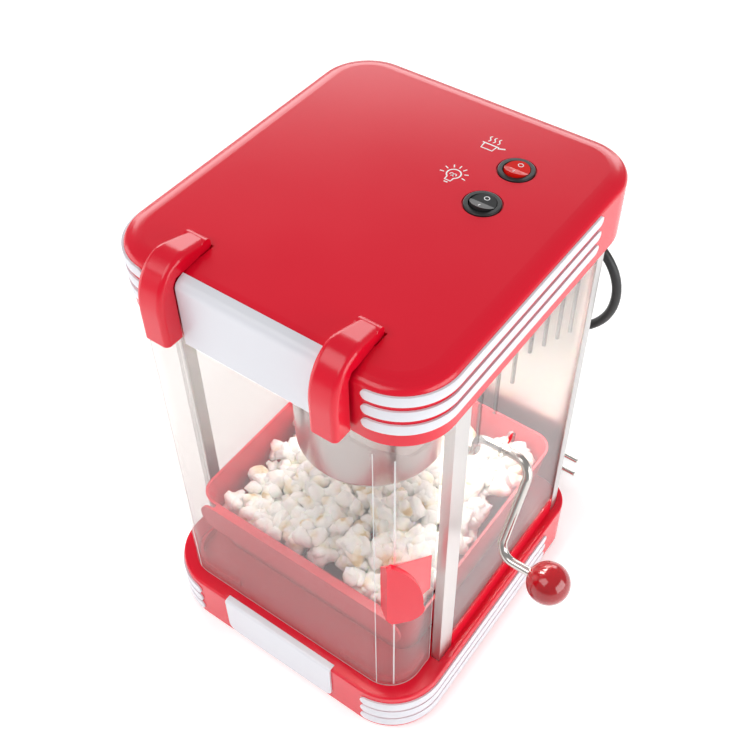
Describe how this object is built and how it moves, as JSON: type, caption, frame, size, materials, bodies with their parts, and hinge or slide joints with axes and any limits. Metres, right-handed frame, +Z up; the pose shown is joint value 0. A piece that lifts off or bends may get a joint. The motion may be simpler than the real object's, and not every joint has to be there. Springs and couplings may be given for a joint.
{
  "type": "popcorn maker",
  "caption": "Table-top popcorn maker: steel-framed cabinet with a clear front door hinged on the roof, a tilting kettle on a side crank, a tray and roof rocker switches.",
  "frame": {"origin": "on the table under the middle of the base, at the middle foot's contact face", "axes": "+Z up, +X to the right seen from the front (the crank's side), and the front with the door faces -Y"},
  "size_m": [0.3068, 0.3976, 0.3889],
  "materials": {
    "red_plastic": "gloss",
    "white_plastic": "gloss",
    "black_plastic": "satin",
    "grey_plastic": "matte",
    "knob_plastic": "gloss",
    "rocker_red": "gloss",
    "clear_plastic": "clear",
    "steel": "brushed",
    "polished_steel": "polished",
    "rubber": "matte",
    "brass": "polished",
    "glass": "clear",
    "cord_rubber": "matte"
  },
  "bodies": {
    "cabinet": {"base": "red_plastic", "window_rails": "red_plastic", "door_rim": "red_plastic", "base_cover": "black_plastic", "feet": "rubber", "base_screws": "polished_steel", "base_ribs_right": "white_plastic", "base_ribs_left": "white_plastic", "base_front_panel": "white_plastic", "front_post_right": "steel", "front_post_left": "steel", "back_panel": "steel", "window_right": "clear_plastic", "window_left": "clear_plastic", "top_housing": "red_plastic", "top_frame": "grey_plastic", "ceiling_plate": "steel", "ceiling_screws": "polished_steel", "housing_ribs_right": "white_plastic", "housing_ribs_left": "white_plastic", "housing_front_panel": "white_plastic", "kettle_hanger": "steel", "kettle_bushes": "black_plastic", "switch_body_popping": "black_plastic", "switch_body_light": "black_plastic", "lamp_holder": "grey_plastic", "lamp_bulb": "glass", "terminal_block": "grey_plastic", "strain_relief": "black_plastic", "power_cord": "cord_rubber", "cord_coil": "cord_rubber", "cord_tie": "black_plastic", "cord_tail": "cord_rubber", "plug_body": "black_plastic", "plug_pins": "brass"},
    "door": {"door_shell": "clear_plastic", "door_arm_right": "red_plastic", "door_arm_left": "red_plastic", "door_screws": "polished_steel", "door_hinge_pins": "polished_steel", "door_handle": "red_plastic"},
    "kettle": {"kettle_pot": "polished_steel", "kettle_base": "polished_steel", "kettle_heater": "polished_steel", "stirrer_motor": "polished_steel", "kettle_bridge": "polished_steel", "lid_pins": "polished_steel", "trunnion_left": "polished_steel", "trunnion_right": "polished_steel", "crank_lever": "polished_steel", "crank_rod": "polished_steel", "crank_knob": "knob_plastic"},
    "stirrer": {"stirrer": "polished_steel"},
    "lid_front": {"lid_front": "polished_steel"},
    "lid_rear": {"lid_rear": "polished_steel"},
    "tray": {"popcorn_tray": "red_plastic"},
    "rocker_popping": {"rocker_popping": "rocker_red"},
    "rocker_light": {"rocker_light": "black_plastic"}
  },
  "joints": [
    {"name": "door_hinge", "type": "hinge", "parent": "cabinet", "child": "door", "pos_m": [0, -0.0993, 0.38], "axis": [-1, 0, 0], "range_deg": [0, 95]},
    {"name": "kettle_tilt", "type": "hinge", "parent": "cabinet", "child": "kettle", "pos_m": [0, -0.015, 0.2235], "axis": [1, 0, 0], "range_deg": [0, 105]},
    {"name": "stirrer_spin", "type": "hinge", "parent": "kettle", "child": "stirrer", "pos_m": [0, -0.015, 0.19], "axis": [0, 0, 1], "continuous": true},
    {"name": "lid_front_hinge", "type": "hinge", "parent": "kettle", "child": "lid_front", "pos_m": [0, -0.0245, 0.2518], "axis": [-1, 0, 0], "range_deg": [0, 75]},
    {"name": "lid_rear_hinge", "type": "hinge", "parent": "kettle", "child": "lid_rear", "pos_m": [0, -0.0055, 0.2518], "axis": [1, 0, 0], "range_deg": [0, 75]},
    {"name": "tray_lift", "type": "slide", "parent": "cabinet", "child": "tray", "axis": [0, 0, 1], "range_m": [0, 0.012]},
    {"name": "popping_switch", "type": "hinge", "parent": "cabinet", "child": "rocker_popping", "pos_m": [0.054, 0.068, 0.3748], "axis": [1, 0, 0], "range_deg": [0, 16]},
    {"name": "light_switch", "type": "hinge", "parent": "cabinet", "child": "rocker_light", "pos_m": [0.054, 0.028, 0.3748], "axis": [1, 0, 0], "range_deg": [0, 16]}
  ]
}
